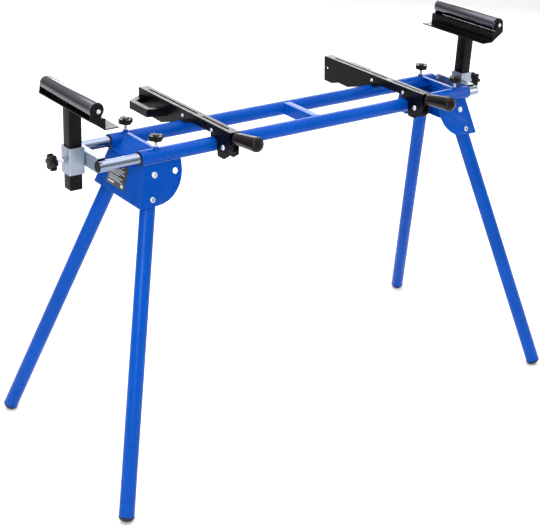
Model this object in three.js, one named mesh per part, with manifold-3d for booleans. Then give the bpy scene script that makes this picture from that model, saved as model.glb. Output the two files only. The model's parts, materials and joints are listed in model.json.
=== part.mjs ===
// Folding mitre saw stand. Two long tubes, braced in the middle, carry a pair of sliding tool brackets.
// A bent sheet housing at each end holds two folding legs. Round arms slide out of the tubes' ends and
// carry a roller on a height-adjustable post. Millimetres, +Z up, X along the tubes, -Y the operator's
// side, and the origin on the floor under the middle of the stand.
import * as THREE from "three";
import { mergeVertices } from "three/addons/utils/BufferGeometryUtils.js";
import Module from "manifold-3d";

const wasm = await Module();
wasm.setup();

// ---- Driving dimensions --------------------------------------------------------------------------
const TUBE_Z = 859; // height of the main tubes' axes
const TUBE_Y = 72.7; // half the distance between them
const TUBE_HALF = 565;
const TUBE_R = 19;
const TUBE_WALL = 2;

const LEG_R = 20;
const LEG_WALL = 2;
const LEG_TILT = THREE.MathUtils.degToRad(17.67); // lean of a leg's plane from the vertical
const LEG_SPLAY = THREE.MathUtils.degToRad(14.8); // lean of the leg within that plane
const LEG_X = TUBE_HALF - 48; // where a leg's axis meets the height of the tubes' axes
const LEG_TOP = 20; // leg above its pivot
const LEG_HEADROOM = 14; // from the tube's underside to the leg's top, measured down the side plate
const FOOT_R = 20.5; // domed plug in the leg's lower end
const FOOT_DOME = 13;
const FOOT_CENTRE_Z = 13.4; // middle of the dome's base: low enough for a small flat on the floor
const FOOT_SPIGOT = 25; // plug inside the leg

const SHEET = 3; // housing, roller bracket and tool bracket sheet
const PLATE_OFFSET = 4.1; // side plate's outer face, outside the main tube's axis
const SKIRT_DROP = 117; // lower edge of the housing below the tubes' axes
const SKIRT_INNER_X = TUBE_HALF - 117;
const SKIRT_CORNER_R = 88;
const END_GAP = 13.5; // free space between a leg and the end plate
const HOOD_DROP = 14; // fold between end plate and hood, below the tubes' axes
const HOOD_LIP_X = TUBE_HALF - 53;
const HOOD_FOLD_X = TUBE_HALF - 43;

const BOLT_R = 6;
const BOLT_HEAD_R = 8.5;
const BUTTON_R = 5;
const BUTTON_REACH = 62; // from the pivot to the lock button, along the leg
const LOCK_HOLE_R = 8; // second hole, for the folded leg

const ARM_R = 14;
const ARM_WALL = 2;
const ARM_LENGTH = 540;
const BAR_WIDTH = 25;
const BAR_HEIGHT = 37.4;
const BAR_WALL = 2;
const BUSH_LENGTH = 40;
const BUSH_COLLAR = 2.5;
const PLUG_DEPTH = 16;

const POST_Y = 10;
const POST_HALF = 17;
const POST_WALL = 2;
const POST_LENGTH = 211;
const SLEEVE_WALL = 4.3;
const SLEEVE_BELOW = 36.5; // sleeve ends below and above the tubes' axes
const SLEEVE_ABOVE = 33.5;

const HEAD_Y = 12;
const ROLLER_R = 19.5;
const ROLLER_LENGTH = 244;
const ROLLER_WALL = 2.5;
const ROLLER_CAP = 12;
const AXLE_R = 4;
const AXLE_HEAD_R = 6;
const HEAD_DROP = 50; // lower face of the head's flange below the roller's axis
const HEAD_FLANGE = 36;
const EAR_R = 16; // rounded top of the head's ears

const SCREW_R = 4;
const TUBE_KNOB_X = TUBE_HALF - 49;
const BOSS_R = 7; // threaded boss under a tube's clamp knob
const BOSS_HEIGHT = 4;
const TUBE_KNOB_R = 19.5;
const TUBE_KNOB_Z = 47; // middle of the grip above the tubes' axes
const POST_KNOB_R = 22;
const POST_KNOB_REACH = 36; // middle of the grip outside the sleeve

const BRACKET_X = 330;
const BRACKET_HALF = 16;
const BRACKET_TOP = 51; // seat above the tubes' axes
const BRACKET_SKIRT = 28; // lower edge of its sides above the tubes' axes
const BRACKET_FRONT = -146;
const BRACKET_REAR = 288;
const SLOT_HALF = 3.5;
const LEVER_PIVOT = [-121, 5]; // y, and z above the tubes' axes
const LEVER_PIN_R = 4;
const CAM_HUB_R = 17;
const GRIP_R = 19.5; // at the grip's rounded end; it narrows towards the bracket
const GRIP_NECK_R = 16;
const GRIP_END = 14;
const GRIP_LENGTH = 98;
const GRIP_RISE = THREE.MathUtils.degToRad(7);
const GRIP_ABOVE = 36; // grip's axis above the tubes' axes, at the bracket's front edge

const BRACE_HALF = 13;
const BRACE_BELOW = 15;
const BRACE_ABOVE = 18;
const BRACE_WALL = 2;

const GAP = 0.3; // between pieces that touch or are welded
const RUNNING = 0.4; // between pieces that slide or turn on each other
const LEG_PLAY = 0.5; // between a leg and the housing's side plate

// How the two ends stand: how far each pair of arms is pulled out, and how high each roller is set.
const ENDS = [
  { name: "left", sign: -1, armEnd: TUBE_HALF + 116, rollerZ: TUBE_Z + 157 },
  { name: "right", sign: 1, armEnd: TUBE_HALF + 39, rollerZ: TUBE_Z + 205 },
];
const SIDES = [
  { name: "front", sign: -1 },
  { name: "rear", sign: 1 },
];

// ---- Worked-out dimensions -----------------------------------------------------------------------
const TUBE_BORE = TUBE_R - TUBE_WALL;
const PLATE_OUT = LEG_R + LEG_PLAY + SHEET; // side plate's outer face from the leg's axis
const LEG_Y = TUBE_Y - (PLATE_OUT - PLATE_OFFSET) / Math.cos(LEG_TILT);
const LEG_DOWN = new THREE.Vector3(
  Math.sin(LEG_SPLAY),
  Math.cos(LEG_SPLAY) * Math.sin(LEG_TILT),
  -Math.cos(LEG_SPLAY) * Math.cos(LEG_TILT),
);
const PLATE_NORMAL = new THREE.Vector3(0, Math.cos(LEG_TILT), Math.sin(LEG_TILT));
const LEG_TO_PIVOT = (TUBE_R + LEG_HEADROOM + LEG_TOP) / Math.cos(LEG_SPLAY);
const PIVOT = new THREE.Vector3(LEG_X, LEG_Y, TUBE_Z).addScaledVector(LEG_DOWN, LEG_TO_PIVOT);
const PIVOT_TO_FLOOR = PIVOT.z / -LEG_DOWN.z;
const FOOT_CENTRE = (PIVOT.z - FOOT_CENTRE_Z) / -LEG_DOWN.z;
const LEG_BOTTOM = FOOT_CENTRE - GAP;
const END_SLOPE = LEG_DOWN.x / -LEG_DOWN.z; // the end plate leans with the legs
const END_LEAN = Math.atan(END_SLOPE);
const SLEEVE_HALF = POST_HALF + RUNNING + SLEEVE_WALL;
const HEAD_FLOOR = ROLLER_R + 1.5; // upper face of the head's floor below the roller's axis
const HEAD_HALF = ROLLER_LENGTH / 2 + 2 + SHEET;
const HEAD_INNER = POST_HALF + GAP; // the head's wall stands against the post's inner face

// ---- Materials -----------------------------------------------------------------------------------
const finish = (color, roughness, metalness) =>
  new THREE.MeshStandardMaterial({ color, roughness, metalness, flatShading: true });
const BLUE = finish(0x0060c8, 0.35, 0.1);
const BLACK = finish(0x26262b, 0.55, 0.1);
const ZINC = finish(0xb9bfc6, 0.35, 0.9);
const CHROME = finish(0xd3d8de, 0.15, 1.0);
const PLASTIC = finish(0x17171a, 0.5, 0.0);
const RUBBER = finish(0x141414, 0.85, 0.0);

// ---- Solids --------------------------------------------------------------------------------------
// A closed three.js geometry as a solid that can be joined and cut.
function solid(geometry, matrix) {
  const bare = new THREE.BufferGeometry();
  const flat = geometry.index ? geometry.toNonIndexed() : geometry;
  bare.setAttribute("position", flat.getAttribute("position").clone());
  if (matrix) bare.applyMatrix4(matrix);
  const merged = mergeVertices(bare, 1e-4);
  const mesh = new wasm.Mesh({
    numProp: 3,
    vertProperties: merged.attributes.position.array,
    triVerts: new Uint32Array(merged.index.array),
  });
  return new wasm.Manifold(mesh);
}

function geometryOf(body) {
  const mesh = body.getMesh();
  const geometry = new THREE.BufferGeometry();
  geometry.setAttribute("position", new THREE.BufferAttribute(mesh.vertProperties, 3));
  geometry.setIndex(new THREE.BufferAttribute(mesh.triVerts, 1));
  geometry.computeVertexNormals();
  return geometry;
}

const cut = (body, ...others) => others.reduce((rest, other) => rest.subtract(other), body);
const join = (body, ...others) => others.reduce((sum, other) => sum.add(other), body);

function box(low, high) {
  const size = low.map((value, i) => high[i] - value);
  const middle = low.map((value, i) => (high[i] + value) / 2);
  return solid(new THREE.BoxGeometry(...size), new THREE.Matrix4().makeTranslation(...middle));
}

// Columns of these matrices say where a geometry's own X, Y and Z axes go.
const basis = (x, y, z) =>
  new THREE.Matrix4().makeBasis(new THREE.Vector3(...x), new THREE.Vector3(...y), new THREE.Vector3(...z));
const TURN = {
  x: basis([0, 0, 1], [1, 0, 0], [0, 1, 0]),
  y: new THREE.Matrix4(),
  z: basis([0, 1, 0], [0, 0, 1], [1, 0, 0]),
};

// A round bar along a named axis, from one place on it to another, through the point `at`.
function rod(axis, radius, from, to, at = [0, 0, 0], sides = 24) {
  const place = [...at];
  place["xyz".indexOf(axis)] = (from + to) / 2;
  const matrix = new THREE.Matrix4().makeTranslation(...place).multiply(TURN[axis]);
  return solid(new THREE.CylinderGeometry(radius, radius, to - from, sides), matrix);
}

const pipe = (axis, outer, inner, from, to, at, sides) =>
  cut(rod(axis, outer, from, to, at, sides), rod(axis, inner, from - 1, to + 1, at, sides));

// An outline drawn in the plane across a named axis, swept along that axis between two places.
// Across X the outline's points are (y, z), across Y they are (x, z), and across Z they are (x, y).
function sweep(axis, outline, from, to) {
  const shape = new THREE.Shape(outline.map(([a, b]) => new THREE.Vector2(a, b)));
  const geometry = new THREE.ExtrudeGeometry(shape, { depth: to - from, bevelEnabled: false });
  const turn = {
    x: basis([0, 1, 0], [0, 0, 1], [1, 0, 0]),
    y: basis([1, 0, 0], [0, 0, 1], [0, -1, 0]),
    z: new THREE.Matrix4(),
  }[axis];
  const start = { x: [from, 0, 0], y: [0, to, 0], z: [0, 0, from] }[axis];
  return solid(geometry, new THREE.Matrix4().makeTranslation(...start).multiply(turn));
}

function arc(cx, cy, radius, fromDeg, toDeg, steps) {
  return Array.from({ length: steps + 1 }, (_, i) => {
    const angle = THREE.MathUtils.degToRad(fromDeg + ((toDeg - fromDeg) * i) / steps);
    return [cx + radius * Math.cos(angle), cy + radius * Math.sin(angle)];
  });
}

// ---- Scene graph ---------------------------------------------------------------------------------
const stand = new THREE.Group();
stand.name = "mitre_saw_stand";

function add(parent, name, body, material) {
  const mesh = new THREE.Mesh(geometryOf(body), material);
  mesh.name = name;
  parent.add(mesh);
  return mesh;
}

// A group whose +X points outward at one end of the stand, and +Y outward at the front or rear.
function mirrored(parent, signX, signY = 1) {
  const group = new THREE.Group();
  group.scale.set(signX, signY, 1);
  parent.add(group);
  return group;
}

// ---- Main frame ----------------------------------------------------------------------------------
function mainTube() {
  let tube = pipe("x", TUBE_R, TUBE_BORE, -TUBE_HALF, TUBE_HALF, [0, 0, 0]);
  for (const x of [-TUBE_KNOB_X, TUBE_KNOB_X]) {
    const boss = cut(
      rod("z", BOSS_R, TUBE_R - 3, TUBE_R + BOSS_HEIGHT, [x, 0, 0], 12),
      rod("x", TUBE_BORE + 0.5, x - 12, x + 12, [0, 0, 0]),
    );
    tube = cut(join(tube, boss), rod("z", SCREW_R + RUNNING, 0, TUBE_R + 10, [x, 0, 0], 12));
  }
  return tube;
}

function brace() {
  const low = TUBE_Z - BRACE_BELOW;
  const high = TUBE_Z + BRACE_ABOVE;
  const outer = box([-BRACE_HALF, -TUBE_Y, low], [BRACE_HALF, TUBE_Y, high]);
  const inner = box(
    [-BRACE_HALF + BRACE_WALL, -TUBE_Y - 1, low + BRACE_WALL],
    [BRACE_HALF - BRACE_WALL, TUBE_Y + 1, high - BRACE_WALL],
  );
  const saddles = SIDES.map((side) => rod("x", TUBE_R + GAP, -50, 50, [0, side.sign * TUBE_Y, TUBE_Z]));
  return cut(outer, inner, ...saddles);
}

for (const side of SIDES) {
  const tube = add(stand, `main_tube_${side.name}`, mainTube(), BLUE);
  tube.position.set(0, side.sign * TUBE_Y, TUBE_Z);
}
add(stand, "centre_brace", brace(), BLUE);

// ---- End housing ---------------------------------------------------------------------------------
// One folded sheet, open below and towards the middle. Both side plates lie in the planes of the legs.
const plateY = (z, out) => LEG_Y + out / Math.cos(LEG_TILT) + (TUBE_Z - z) * Math.tan(LEG_TILT);
const END_X = LEG_X + (LEG_R + END_GAP + SHEET) / Math.cos(END_LEAN);
const endX = (z) => END_X + (TUBE_Z - z) * END_SLOPE;

// The leg's own frame at its pivot: +Z up the leg and +Y out through the side plate.
function legFrame() {
  const up = LEG_DOWN.clone().negate();
  const across = new THREE.Vector3().crossVectors(PLATE_NORMAL, up);
  return new THREE.Matrix4().makeBasis(across, PLATE_NORMAL, up).setPosition(PIVOT);
}

// A hole through the side plate on a line square to it, `reach` from the pivot and `turn` from the leg.
function plateHole(radius, reach, turn) {
  const place = new THREE.Matrix4()
    .multiply(legFrame())
    .multiply(new THREE.Matrix4().makeRotationY(turn))
    .multiply(new THREE.Matrix4().makeTranslation(0, PLATE_OUT, -reach));
  return solid(new THREE.CylinderGeometry(radius, radius, 12, 14), place);
}

function housing() {
  const low = TUBE_Z - SKIRT_DROP;
  const high = TUBE_Z - HOOD_DROP;
  const cornerX = SKIRT_INNER_X + SKIRT_CORNER_R;
  const sideView = [
    [SKIRT_INNER_X, high],
    ...arc(cornerX, low + SKIRT_CORNER_R, SKIRT_CORNER_R, 180, 270, 8),
    [endX(low), low],
    [endX(high), high],
  ];
  const endView = (out, bottom, top) => [
    [-plateY(bottom, out), bottom],
    [plateY(bottom, out), bottom],
    [plateY(top, out), top],
    [-plateY(top, out), top],
  ];
  const wall = SHEET / Math.cos(END_LEAN);
  const outer = sweep("y", sideView, -200, 200).intersect(
    sweep("x", endView(PLATE_OUT, low, high), 0, 2 * END_X),
  );
  const cavity = sweep("x", endView(PLATE_OUT - SHEET, low - 10, high + 10), 0, 2 * END_X).intersect(
    sweep(
      "y",
      [
        [SKIRT_INNER_X - 20, low - 10],
        [endX(low - 10) - wall, low - 10],
        [endX(high + 10) - wall, high + 10],
        [SKIRT_INNER_X - 20, high + 10],
      ],
      -200,
      200,
    ),
  );
  const crown = TUBE_Z + TUBE_R;
  const hood = sweep(
    "y",
    [
      [endX(high - 5) - wall, high - 5],
      [endX(high - 5), high - 5],
      [endX(high), high],
      [HOOD_FOLD_X, crown],
      [HOOD_LIP_X, crown],
      [HOOD_LIP_X, crown - SHEET],
      [HOOD_FOLD_X - 1.2, crown - SHEET],
      [endX(high) - wall - 0.8, high - 1],
    ],
    -TUBE_Y,
    TUBE_Y,
  );
  const tubes = SIDES.flatMap((side) => [
    rod("x", TUBE_R + GAP, 0, 2 * END_X, [0, side.sign * TUBE_Y, TUBE_Z]),
    rod("z", BOSS_R + GAP, TUBE_Z, TUBE_Z + 40, [TUBE_KNOB_X, side.sign * TUBE_Y, 0], 12),
  ]);
  const shell = cut(join(cut(outer, cavity), hood), ...tubes);
  const holes = [
    plateHole(BOLT_R + GAP, 0, 0),
    plateHole(BUTTON_R + 1, BUTTON_REACH, 0),
    plateHole(LOCK_HOLE_R, BUTTON_REACH, Math.PI / 2 + LEG_SPLAY),
  ];
  const flip = (body) => body.mirror([0, 1, 0]);
  return cut(shell, ...holes, ...holes.map(flip));
}

// ---- Legs ----------------------------------------------------------------------------------------
function leg() {
  return cut(
    pipe("z", LEG_R, LEG_R - LEG_WALL, -LEG_BOTTOM, LEG_TOP, [0, 0, 0]),
    rod("y", BOLT_R + RUNNING, -30, 30, [0, 0, 0], 12),
    rod("y", BUTTON_R + RUNNING, 0, 30, [0, 0, -BUTTON_REACH], 12),
  );
}

// A rubber plug: a dome below the leg's end, cut flat where it stands on the floor, and a spigot inside.
function footCap(frame) {
  const place = new THREE.Matrix4()
    .makeTranslation(0, 0, -FOOT_CENTRE)
    .multiply(new THREE.Matrix4().makeScale(FOOT_R, FOOT_R, FOOT_DOME))
    .multiply(new THREE.Matrix4().makeRotationX(Math.PI / 2));
  const below = new THREE.Matrix4()
    .copy(frame)
    .invert()
    .multiply(new THREE.Matrix4().makeTranslation(0, 0, -500));
  const dome = cut(
    solid(new THREE.SphereGeometry(1, 24, 12), place),
    rod("z", FOOT_R + 5, -FOOT_CENTRE, 0),
    solid(new THREE.BoxGeometry(4000, 4000, 1000), below),
  );
  const bore = LEG_R - LEG_WALL;
  return join(dome, rod("z", bore - GAP, -FOOT_CENTRE - 2, -FOOT_CENTRE + FOOT_SPIGOT, [0, 0, 0], 20));
}

function pivotBolt() {
  return join(
    rod("y", BOLT_R, -LEG_R - 8, PLATE_OUT + 1, [0, 0, 0], 12),
    rod("y", BOLT_HEAD_R, PLATE_OUT + GAP, PLATE_OUT + GAP + 4, [0, 0, 0], 16),
    rod("y", BOLT_HEAD_R, -LEG_R - 9, -LEG_R - 2, [0, 0, 0], 6),
  );
}

// A sprung button in the leg. Its crown lies just inside the side plate, behind the lock hole.
function lockButton() {
  const crown = LEG_R + LEG_PLAY - GAP;
  return join(
    rod("y", BUTTON_R, 6, crown - 2, [0, 0, -BUTTON_REACH], 12),
    rod("y", BUTTON_R - 1.5, 6, crown, [0, 0, -BUTTON_REACH], 12),
    rod("y", BUTTON_R + 3, 7, 9, [0, 0, -BUTTON_REACH], 12),
  );
}

// ---- Sliding arms --------------------------------------------------------------------------------
// Local X is measured from the middle of the stand.
function crossbar(end) {
  const inner = end.armEnd - BAR_WIDTH;
  const reach = TUBE_Y - 6;
  const half = BAR_HEIGHT / 2;
  return cut(
    box([inner, -reach, -half], [end.armEnd, reach, half]),
    box(
      [inner + BAR_WALL, -reach - 1, -half + BAR_WALL],
      [end.armEnd - BAR_WALL, reach + 1, half - BAR_WALL],
    ),
    ...SIDES.map((side) => rod("x", ARM_R + GAP, inner - 5, end.armEnd + 5, [0, side.sign * TUBE_Y, 0])),
  );
}

function postSleeve() {
  const bore = POST_HALF + RUNNING;
  return cut(
    box([-SLEEVE_HALF, -SLEEVE_HALF, -SLEEVE_BELOW], [SLEEVE_HALF, SLEEVE_HALF, SLEEVE_ABOVE]),
    box([-bore, -bore, -SLEEVE_BELOW - 1], [bore, bore, SLEEVE_ABOVE + 1]),
    rod("x", SCREW_R + RUNNING, 0, SLEEVE_HALF + 10, [0, 0, 0], 12),
  );
}

function post(top) {
  const bore = POST_HALF - POST_WALL;
  return cut(
    box([-POST_HALF, -POST_HALF, top - POST_LENGTH], [POST_HALF, POST_HALF, top]),
    box([-bore, -bore, top - POST_LENGTH - 1], [bore, bore, top + 1]),
  );
}

function armPlug() {
  return join(
    rod("x", ARM_R, GAP, 3, [0, 0, 0], 18),
    rod("x", ARM_R - ARM_WALL - GAP, -PLUG_DEPTH, 1, [0, 0, 0], 18),
  );
}

function tubeBush() {
  const bore = ARM_R + GAP;
  return join(
    pipe("x", TUBE_R - 0.5, bore, GAP, BUSH_COLLAR, [0, 0, 0], 24),
    pipe("x", TUBE_BORE - GAP, bore, -BUSH_LENGTH, 1, [0, 0, 0], 24),
  );
}

// ---- Clamp knobs ---------------------------------------------------------------------------------
// A lobed grip on a screw along local Z: the screw's tip is at 0 and the middle of the grip at `reach`.
function knob(radius, lobes, thickness, reach) {
  const outline = Array.from({ length: lobes * 6 }, (_, i) => {
    const angle = (i / (lobes * 6)) * 2 * Math.PI;
    const r = radius * (0.84 + 0.16 * Math.cos(lobes * angle));
    return [r * Math.cos(angle), r * Math.sin(angle)];
  });
  return join(
    sweep("z", outline, reach - thickness / 2, reach + thickness / 2),
    rod("z", radius * 0.45, reach - thickness / 2 - 4, reach + thickness / 2 + 2, [0, 0, 0], 12),
    rod("z", SCREW_R, 0, reach, [0, 0, 0], 10),
  );
}

// ---- Roller heads --------------------------------------------------------------------------------
// Local X points outward from the post, and the roller's axis is the origin.
function headBracket() {
  const wall = -HEAD_INNER - SHEET;
  const edge = ROLLER_R + 1.5;
  const floor = -HEAD_FLOOR;
  const strip = (low, high) => box([low[0], -HEAD_HALF, low[1]], [high[0], HEAD_HALF, high[1]]);
  const ear = [
    [wall, -HEAD_DROP],
    [edge - 1, floor - SHEET],
    [edge, floor],
    ...arc(1.5, 1.5, EAR_R, 0, 180, 8),
    [-8, floor + 2],
    [wall, floor],
  ];
  const ears = [-1, 1].map((sign) => {
    const face = sign * HEAD_HALF;
    return sweep("y", ear, Math.min(face, face - sign * SHEET), Math.max(face, face - sign * SHEET));
  });
  const body = join(
    strip([wall, floor - SHEET], [edge, floor]),
    strip([wall, -HEAD_DROP], [-HEAD_INNER, floor]),
    strip([wall - HEAD_FLANGE, -HEAD_DROP], [-HEAD_INNER, -HEAD_DROP + SHEET]),
    ...ears,
  );
  return cut(body, rod("y", AXLE_R + GAP, -HEAD_HALF - 5, HEAD_HALF + 5, [0, 0, 0], 14));
}

function roller() {
  const half = ROLLER_LENGTH / 2;
  return cut(
    rod("y", ROLLER_R, -half, half, [0, 0, 0], 28),
    rod("y", ROLLER_R - ROLLER_WALL, -half + ROLLER_CAP, half - ROLLER_CAP, [0, 0, 0], 28),
    rod("y", AXLE_R + RUNNING, -half - 1, half + 1, [0, 0, 0], 14),
  );
}

function axle() {
  const face = HEAD_HALF + GAP;
  return join(
    rod("y", AXLE_R, -face - 4, face + 4, [0, 0, 0], 14),
    rod("y", AXLE_HEAD_R, -face - 5, -face, [0, 0, 0], 14),
    rod("y", AXLE_HEAD_R, face, face + 6, [0, 0, 0], 6),
  );
}

// ---- Tool brackets -------------------------------------------------------------------------------
// A channel that rides on both main tubes. Its front jaw closes on the front tube by a cam on the lever.
// Local X points outward, and Z is measured from the tubes' axes.
const REAR_GUSSET = [
  [66, BRACKET_SKIRT],
  [102, 6.5],
  [171, -15.5],
  [215, -14],
  [246, -23.5],
  [281, -22.5],
];
const LOOP_REACH = 51; // how far the side loop stands out
const LOOP_HEIGHT = 22;
const LOOP_RIM = 15;

function cheek() {
  return [
    [BRACKET_FRONT, BRACKET_TOP],
    [BRACKET_FRONT, -11],
    [BRACKET_FRONT + 21, -25.5],
    [-TUBE_Y - TUBE_R - 6, -25.5],
    [-TUBE_Y - TUBE_R - 2, -5],
    [-TUBE_Y - TUBE_R - 0.6, 12],
    [-88, BRACKET_SKIRT],
    ...REAR_GUSSET,
    [BRACKET_REAR, BRACKET_TOP],
  ];
}

function loopRing(inset, bottom, top) {
  const outline = (edge) => [
    [BRACKET_HALF - 1, 283 - edge * 1.6],
    [BRACKET_HALF + LOOP_REACH - edge, 251 - edge * 0.5],
    [BRACKET_HALF + LOOP_REACH - edge, 163 + edge * 0.5],
    [BRACKET_HALF - 1, 146 + edge],
  ];
  const hollow = outline(inset).map(([x, y], i) => (i === 0 || i === 3 ? [x - 10, y] : [x, y]));
  return cut(sweep("z", outline(0), bottom, top), sweep("z", hollow, bottom - 1, top + 1));
}

function toolBracket() {
  const inner = BRACKET_HALF - SHEET;
  const rim = BRACKET_SKIRT + 3;
  const channel = cut(
    sweep("x", cheek(), -BRACKET_HALF, BRACKET_HALF),
    box([-inner, BRACKET_FRONT - 1, -60], [inner, BRACKET_REAR + 1, BRACKET_TOP - SHEET]),
  );
  const saddles = SIDES.map((side) =>
    box([-inner - 1, side.sign * TUBE_Y - 12, 12], [inner + 1, side.sign * TUBE_Y + 12, BRACKET_TOP - 1]),
  );
  const hook = box([-inner - 1, TUBE_Y + 8, -8], [inner + 1, TUBE_Y + TUBE_R + 9, 22]);
  const tubes = SIDES.map((side) => rod("x", TUBE_R + RUNNING, -30, 30, [0, side.sign * TUBE_Y, 0]));
  const loop = join(
    loopRing(SHEET, rim - LOOP_HEIGHT, rim),
    loopRing(LOOP_RIM, rim - SHEET, rim),
  );
  const slot = (from, to) =>
    sweep(
      "z",
      [
        ...arc(0, from + SLOT_HALF, SLOT_HALF, 180, 360, 4),
        ...arc(0, to - SLOT_HALF, SLOT_HALF, 0, 180, 4),
      ],
      TUBE_R + 4,
      BRACKET_TOP + 1,
    );
  return cut(
    join(channel, ...saddles, hook, loop),
    ...tubes,
    slot(-121, -3.4),
    slot(18.4, 258),
    rod("x", LEVER_PIN_R + RUNNING, -30, 30, [0, ...LEVER_PIVOT], 12),
    rod("x", 4, -30, -inner + 1, [0, 271, 18], 10),
  );
}

// The grip's axis leaves the bracket's front edge and rises slightly away from it.
const GRIP_START = [BRACKET_FRONT - 6, GRIP_ABOVE + 6 * Math.tan(GRIP_RISE)];
const CAM_GAP = 0.6;

function camLever() {
  const [py, pz] = LEVER_PIVOT;
  const width = BRACKET_HALF - SHEET - RUNNING;
  const toTube = Math.hypot(TUBE_Y + py, pz) - TUBE_R - CAM_GAP;
  const towards = THREE.MathUtils.radToDeg(Math.atan2(-pz, -TUBE_Y - py));
  const cam = [
    ...arc(py, pz, toTube, towards - 12, towards + 12, 4),
    ...arc(py, pz, CAM_HUB_R, towards + 50, towards + 310, 10),
  ];
  const [gy, gz] = GRIP_START;
  const arm = [
    [py - 12, pz - 12],
    [py + 12, pz + 10],
    [py + 4, pz + 30],
    [gy - 2, gz + 9],
    [gy - 2, gz - 11],
    [py - 16, pz + 2],
  ];
  const core = rod("y", 7.5, gy - GRIP_LENGTH + 16, gy + 8, [0, 0, 0], 12);
  const tilt = new THREE.Matrix4()
    .makeTranslation(0, gy, gz)
    .multiply(new THREE.Matrix4().makeRotationX(-GRIP_RISE))
    .multiply(new THREE.Matrix4().makeTranslation(0, -gy, 0));
  return cut(
    join(sweep("x", cam, -width, width), sweep("x", arm.reverse(), -9, 9), core.transform(tilt.toArray())),
    rod("x", LEVER_PIN_R + RUNNING, -30, 30, [0, py, pz], 12),
  );
}

function leverGrip() {
  const rounded = [
    [0, 0],
    [GRIP_NECK_R, 0],
    ...arc(0, 0, 1, 0, 72, 4).map(([r, y]) => [GRIP_R * r, GRIP_LENGTH + GRIP_END * (y - 1)]),
    [0, GRIP_LENGTH],
  ].map(([r, y]) => new THREE.Vector2(r, y));
  const [gy, gz] = GRIP_START;
  const start = 2 + GAP + GRIP_NECK_R * Math.sin(GRIP_RISE);
  const bored = cut(
    solid(new THREE.LatheGeometry(rounded, 20)),
    rod("y", 7.5 + GAP, -1, GRIP_LENGTH - 14 + GAP, [0, 0, 0], 12),
  );
  const place = new THREE.Matrix4()
    .makeTranslation(0, gy - start, gz + start * Math.tan(GRIP_RISE))
    .multiply(new THREE.Matrix4().makeRotationX(Math.PI - GRIP_RISE));
  return bored.transform(place.toArray());
}

function leverPin() {
  const face = BRACKET_HALF + GAP;
  return join(
    rod("x", LEVER_PIN_R, -face - 2, face + 2, [0, ...LEVER_PIVOT], 12),
    rod("x", 7, face, face + 4, [0, ...LEVER_PIVOT], 12),
    rod("x", 7, -face - 4, -face, [0, ...LEVER_PIVOT], 12),
  );
}

// ---- Assembly ------------------------------------------------------------------------------------
for (const end of ENDS) {
  const outward = mirrored(stand, end.sign);
  add(outward, `end_housing_${end.name}`, housing(), BLUE);

  for (const side of SIDES) {
    const place = `${side.name}_${end.name}`;
    const corner = mirrored(outward, 1, side.sign);
    const frame = legFrame();
    const limb = new THREE.Group();
    frame.decompose(limb.position, limb.quaternion, limb.scale);
    corner.add(limb);
    add(limb, `leg_${place}`, leg(), BLUE);
    add(limb, `foot_cap_${place}`, footCap(frame), RUBBER);
    add(limb, `leg_pivot_bolt_${place}`, pivotBolt(), ZINC);
    add(limb, `lock_button_${place}`, lockButton(), ZINC);

    const onTube = new THREE.Group();
    onTube.position.set(0, TUBE_Y, TUBE_Z);
    corner.add(onTube);
    add(onTube, `tube_bush_${place}`, tubeBush(), PLASTIC).position.x = TUBE_HALF;
    const grip = knob(TUBE_KNOB_R, 4, 13, TUBE_KNOB_Z - ARM_R - RUNNING);
    add(onTube, `tube_knob_${place}`, grip, PLASTIC).position.set(TUBE_KNOB_X, 0, ARM_R + RUNNING);
    const arm = pipe("x", ARM_R, ARM_R - ARM_WALL, end.armEnd - ARM_LENGTH, end.armEnd, [0, 0, 0], 24);
    add(onTube, `arm_${place}`, arm, CHROME);
    add(onTube, `arm_plug_${place}`, armPlug(), PLASTIC).position.x = end.armEnd;
  }

  const armHead = new THREE.Group();
  armHead.position.z = TUBE_Z;
  outward.add(armHead);
  add(armHead, `arm_crossbar_${end.name}`, crossbar(end), ZINC);
  const postX = end.armEnd + GAP + SLEEVE_HALF;
  add(armHead, `post_sleeve_${end.name}`, postSleeve(), ZINC).position.set(postX, POST_Y, 0);
  const clamp = knob(POST_KNOB_R, 6, 16, SLEEVE_HALF + POST_KNOB_REACH - POST_HALF - RUNNING);
  const clampMesh = add(armHead, `post_knob_${end.name}`, clamp, PLASTIC);
  clampMesh.position.set(postX + POST_HALF + RUNNING, POST_Y, 0);
  clampMesh.rotation.y = Math.PI / 2;

  const head = new THREE.Group();
  head.position.set(postX, 0, end.rollerZ);
  outward.add(head);
  const postTop = -HEAD_FLOOR - SHEET - GAP;
  add(head, `post_${end.name}`, post(postTop), BLACK).position.y = POST_Y;
  add(head, `head_bracket_${end.name}`, headBracket(), BLACK).position.y = HEAD_Y;
  add(head, `roller_${end.name}`, roller(), CHROME).position.y = HEAD_Y;
  add(head, `roller_axle_${end.name}`, axle(), ZINC).position.y = HEAD_Y;

  const tool = new THREE.Group();
  tool.position.set(BRACKET_X, 0, TUBE_Z);
  outward.add(tool);
  add(tool, `tool_bracket_${end.name}`, toolBracket(), BLACK);
  add(tool, `cam_lever_${end.name}`, camLever(), BLACK);
  add(tool, `lever_grip_${end.name}`, leverGrip(), PLASTIC);
  add(tool, `lever_pin_${end.name}`, leverPin(), ZINC);
}

export default stand;
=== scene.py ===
import json
import math

import bmesh
import bpy
from mathutils import Matrix, Vector


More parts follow.
